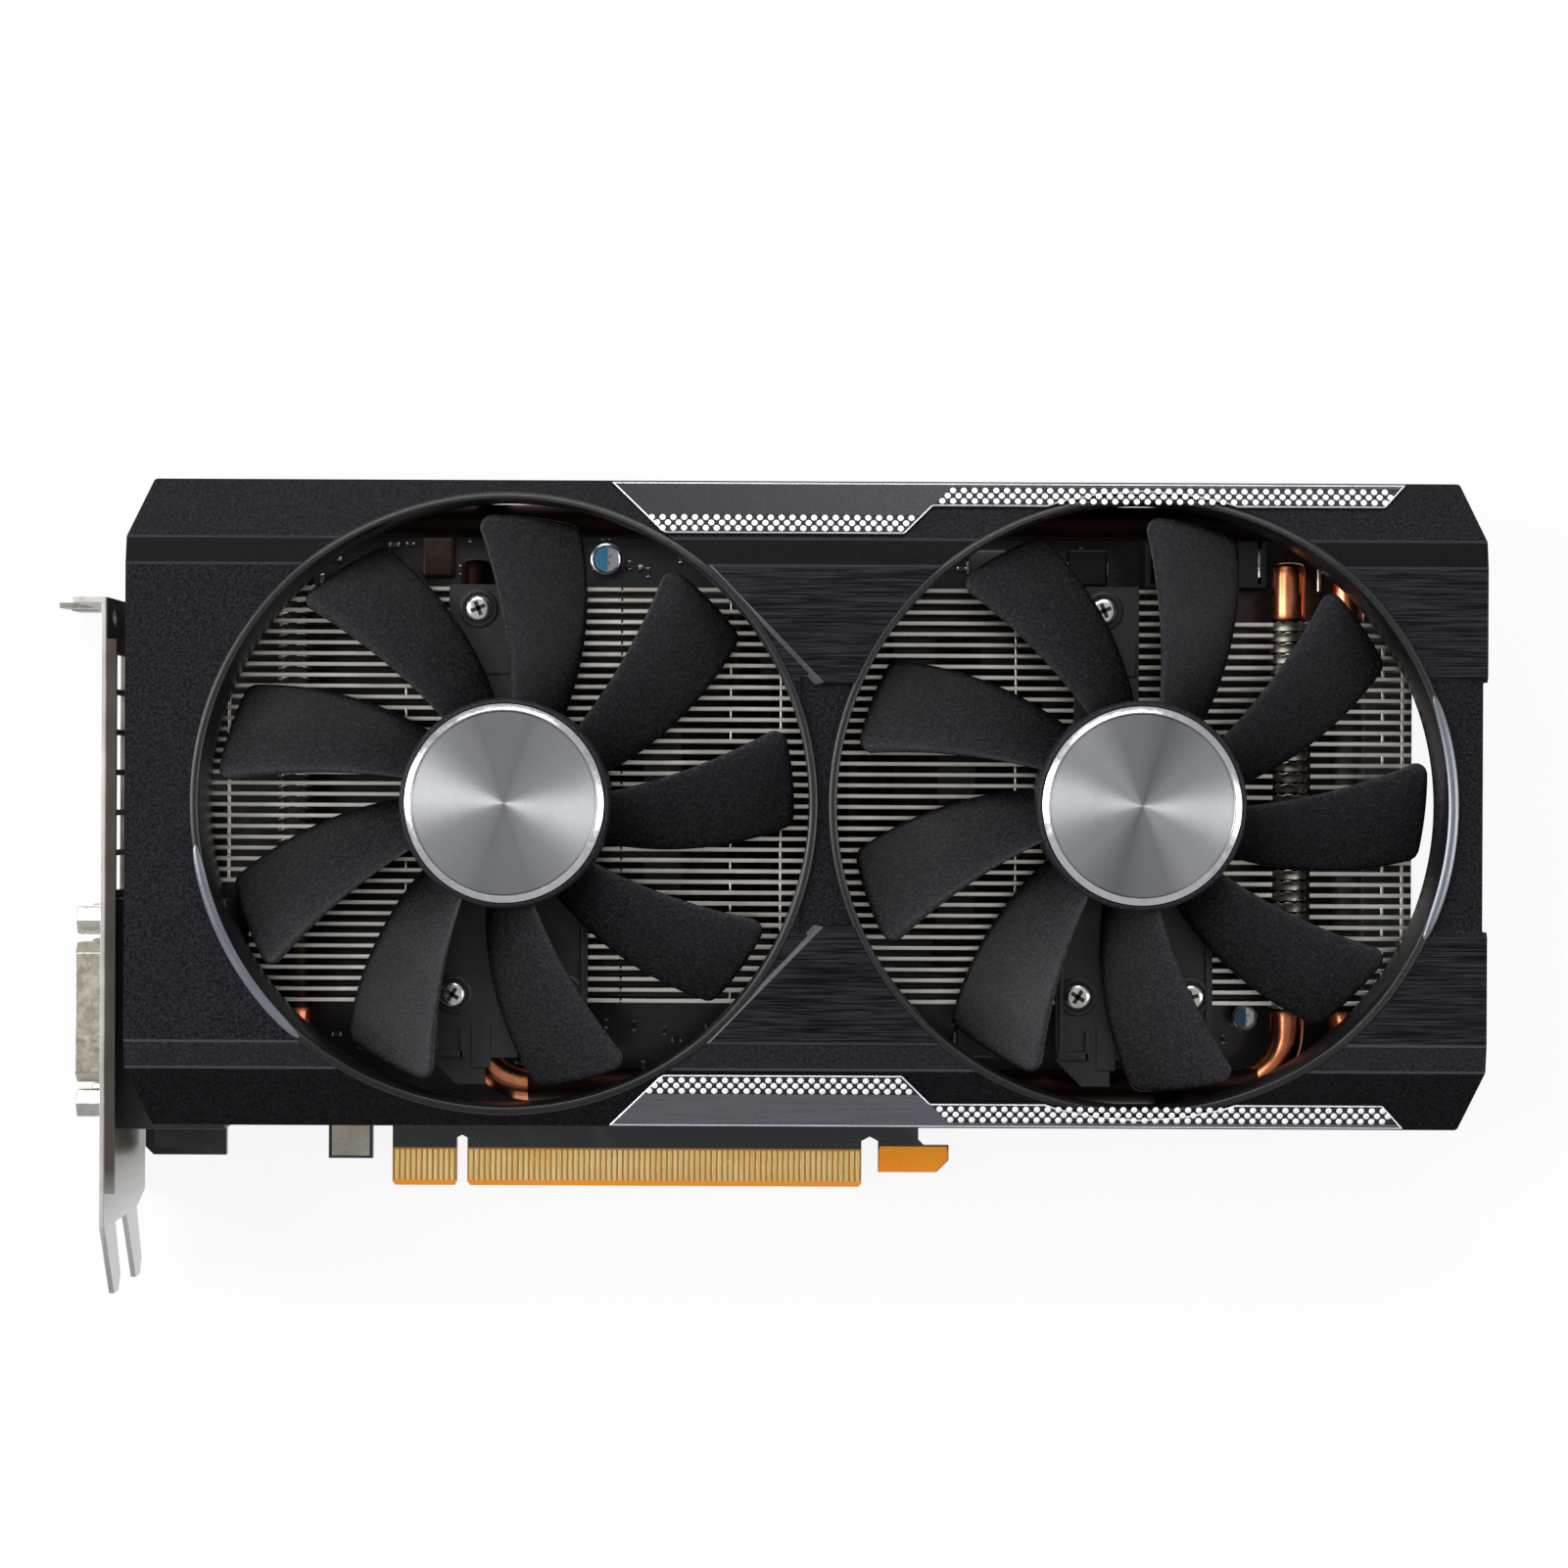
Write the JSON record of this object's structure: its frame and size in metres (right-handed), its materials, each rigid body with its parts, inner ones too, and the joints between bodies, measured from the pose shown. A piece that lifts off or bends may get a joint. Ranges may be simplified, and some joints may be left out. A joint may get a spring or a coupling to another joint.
{
  "type": "graphics card",
  "caption": "Dual-slot graphics card with two axial fans over a finned heat-pipe cooler, a slotted bracket with display sockets and an edge connector.",
  "frame": {"origin": "middle of the long contact tongue's lower edge, halfway through the board's thickness", "axes": "+X along the card away from the bracket, +Y away from the edge connector, +Z out of the component side towards the fans"},
  "size_m": [0.2491, 0.1406, 0.0413],
  "materials": {
    "shroud_plastic": "fine-grained black moulding with brushed panels",
    "trim_metal": "grey anodised strip with a bright rim",
    "fan_plastic": "fine satin black",
    "carrier_plastic": "satin black",
    "cap_aluminium": "turned, with a polished rim",
    "fin_aluminium": "thin bare sheet",
    "copper": "bare copper",
    "plated_steel": "nickel-plated sheet",
    "screw_steel": "zinc-plated",
    "bearing_bronze": "sintered bronze",
    "board_laminate": "black solder mask over glass laminate",
    "chip_resin": "moulded resin",
    "package_substrate": "green substrate with a bare die",
    "capacitor_can": "bright can with a blue marked top",
    "socket_plastic": "moulded black nylon",
    "lead_sleeve": "black insulation"
  },
  "bodies": {
    "root": {"circuit_board": "board_laminate", "gpu_package": "package_substrate", "memory_chip_1": "chip_resin", "memory_chip_2": "chip_resin", "memory_chip_3": "chip_resin", "memory_chip_4": "chip_resin", "memory_chip_5": "chip_resin", "memory_chip_6": "chip_resin", "capacitor_1": "capacitor_can", "capacitor_2": "capacitor_can", "fin_stack": "fin_aluminium", "power_connector": "socket_plastic", "dvi_socket_body": "socket_plastic", "fan_header_left": "socket_plastic", "fan_header_right": "socket_plastic", "cold_plate": "copper", "heatpipe_1": "copper", "heatpipe_2": "copper", "heatpipe_3": "copper", "heatpipe_4": "copper", "stator_left": "copper", "stator_right": "copper", "fan_carrier_left": "carrier_plastic", "fan_carrier_right": "carrier_plastic", "bearing_left": "bearing_bronze", "bearing_right": "bearing_bronze", "fan_screw_left_1": "screw_steel", "fan_screw_left_2": "screw_steel", "fan_screw_left_3": "screw_steel", "fan_screw_right_1": "screw_steel", "fan_screw_right_2": "screw_steel", "fan_screw_right_3": "screw_steel", "cooler_screw_1": "screw_steel", "cooler_screw_2": "screw_steel", "cooler_screw_3": "screw_steel", "cooler_screw_4": "screw_steel", "dvi_jackscrew_1": "screw_steel", "dvi_jackscrew_2": "screw_steel", "dvi_jackscrew_3": "screw_steel", "dvi_jackscrew_4": "screw_steel", "fan_lead_left": "lead_sleeve", "fan_lead_right": "lead_sleeve", "shroud": "shroud_plastic", "shroud_skirt": "shroud_plastic", "duct_left": "shroud_plastic", "duct_right": "shroud_plastic", "trim_upper": "trim_metal", "trim_lower": "trim_metal", "bracket": "plated_steel", "dvi_shell_1": "plated_steel", "dvi_shell_2": "plated_steel", "hdmi_socket": "plated_steel", "displayport_socket": "plated_steel", "retention_plate": "plated_steel"},
    "fan_left": {"rotor_left": "fan_plastic", "hub_cap_left": "cap_aluminium", "shaft_left": "screw_steel"},
    "fan_right": {"rotor_right": "fan_plastic", "hub_cap_right": "cap_aluminium", "shaft_right": "screw_steel"}
  },
  "joints": [
    {"name": "fan_left_spin", "type": "hinge", "parent": "root", "child": "fan_left", "pos_m": [-0.0266, 0.0694, 0.03], "axis": [0, 0, 1], "continuous": true},
    {"name": "fan_right_spin", "type": "hinge", "parent": "root", "child": "fan_right", "pos_m": [0.08275, 0.0694, 0.03], "axis": [0, 0, 1], "continuous": true}
  ]
}
